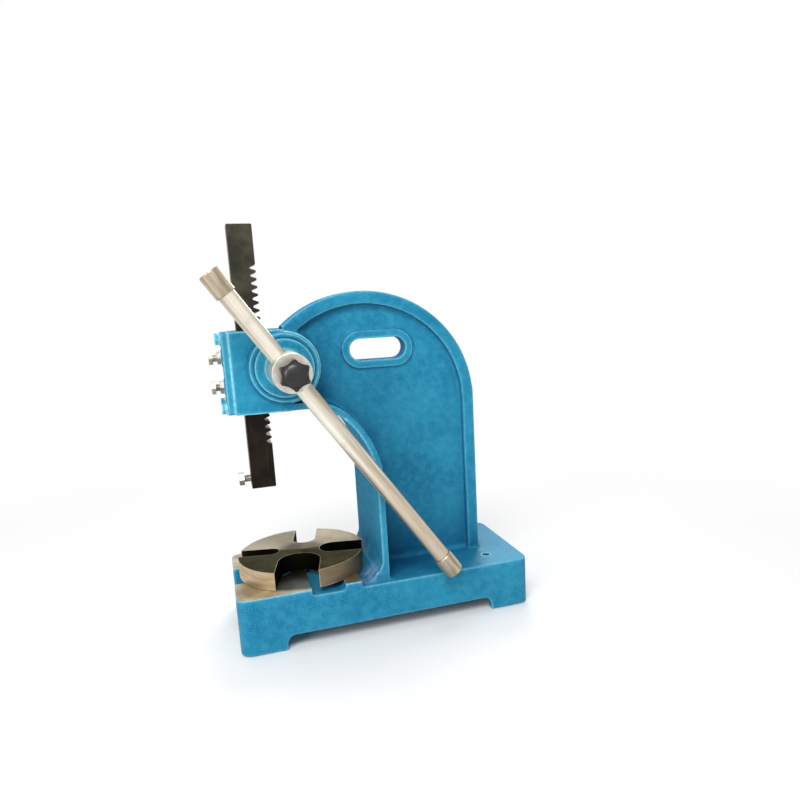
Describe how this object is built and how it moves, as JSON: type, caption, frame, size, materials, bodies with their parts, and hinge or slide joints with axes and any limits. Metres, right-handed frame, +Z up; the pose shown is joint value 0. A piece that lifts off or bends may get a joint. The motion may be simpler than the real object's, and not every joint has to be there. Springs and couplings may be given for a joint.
{
  "type": "arbor press",
  "caption": "Bench arbor press: cast C frame on a slotted base, square rack ram driven by a lever and pinion shaft, and a turning slotted work plate.",
  "frame": {"origin": "centre of the turning plate's top face, where the work stands", "axes": "+Z up out of the plate along the ram's travel, +X from the ram towards the column, so the lever and its knob are on the -Y side"},
  "size_m": [0.4142, 0.261, 0.5538],
  "materials": {
    "frame_paint": "metallic blue enamel over rough cast iron",
    "machined_iron": "bare machined, fine milling marks",
    "black_oxide_steel": "black oxide, oiled",
    "satin_steel": "satin turned steel",
    "zinc_steel": "bright zinc plate",
    "black_plastic": "glossy moulded phenolic"
  },
  "bodies": {
    "frame": {"frame_casting": "frame_paint", "plate_pivot_pin": "satin_steel", "cover_plate": "frame_paint", "ram_gib": "machined_iron", "cover_bolt_1": "frame_paint", "cover_washer_1": "frame_paint", "cover_bolt_2": "frame_paint", "cover_washer_2": "frame_paint", "cover_bolt_3": "frame_paint", "cover_washer_3": "frame_paint", "cover_bolt_4": "frame_paint", "cover_washer_4": "frame_paint", "adjusting_screw_1": "zinc_steel", "jam_nut_1": "zinc_steel", "adjusting_screw_2": "zinc_steel", "jam_nut_2": "zinc_steel", "pinion_bush": "machined_iron", "bush_screw_1": "zinc_steel", "bush_screw_2": "zinc_steel", "bush_screw_3": "zinc_steel"},
    "pinion": {"pinion_shaft": "satin_steel"},
    "ram": {"rack_ram": "black_oxide_steel", "tool_clamp_screw": "zinc_steel"},
    "lever": {"lever_bar": "satin_steel", "lever_cap_upper": "satin_steel", "lever_cap_lower": "satin_steel"},
    "clamp_screw": {"clamp_stud": "zinc_steel"},
    "clamp_knob": {"clamp_knob": "black_plastic"},
    "plate": {"arbor_plate": "machined_iron"}
  },
  "joints": [
    {"name": "pinion_turn", "type": "hinge", "parent": "frame", "child": "pinion", "pos_m": [-0.00577, 0, 0.2657], "axis": [0, 1, 0], "range_deg": [-228, 188]},
    {"name": "ram_slide", "type": "slide", "parent": "frame", "child": "ram", "axis": [0, 0, 1], "range_m": [-0.1012, 0.0835]},
    {"name": "lever_slide", "type": "slide", "parent": "pinion", "child": "lever", "axis": [0.565, 0, -0.8251], "range_m": [-0.298, 0.088]},
    {"name": "clamp_turn", "type": "hinge", "parent": "clamp_screw", "child": "clamp_knob", "pos_m": [-0.00577, -0.15, 0.2657], "axis": [0, -1, 0], "range_deg": [0, 724]},
    {"name": "clamp_slide", "type": "slide", "parent": "pinion", "child": "clamp_screw", "axis": [0, -1, 0], "range_m": [0, 0.003]},
    {"name": "plate_turn", "type": "hinge", "parent": "frame", "child": "plate", "pos_m": [0, 0, 0], "axis": [0, 0, 1], "continuous": true}
  ],
  "couplings": [
    {"joint": "ram_slide", "follows": "pinion_turn", "m_per_rad": 0.0254},
    {"joint": "clamp_turn", "follows": "clamp_slide", "rad_per_m": 4188.8}
  ]
}
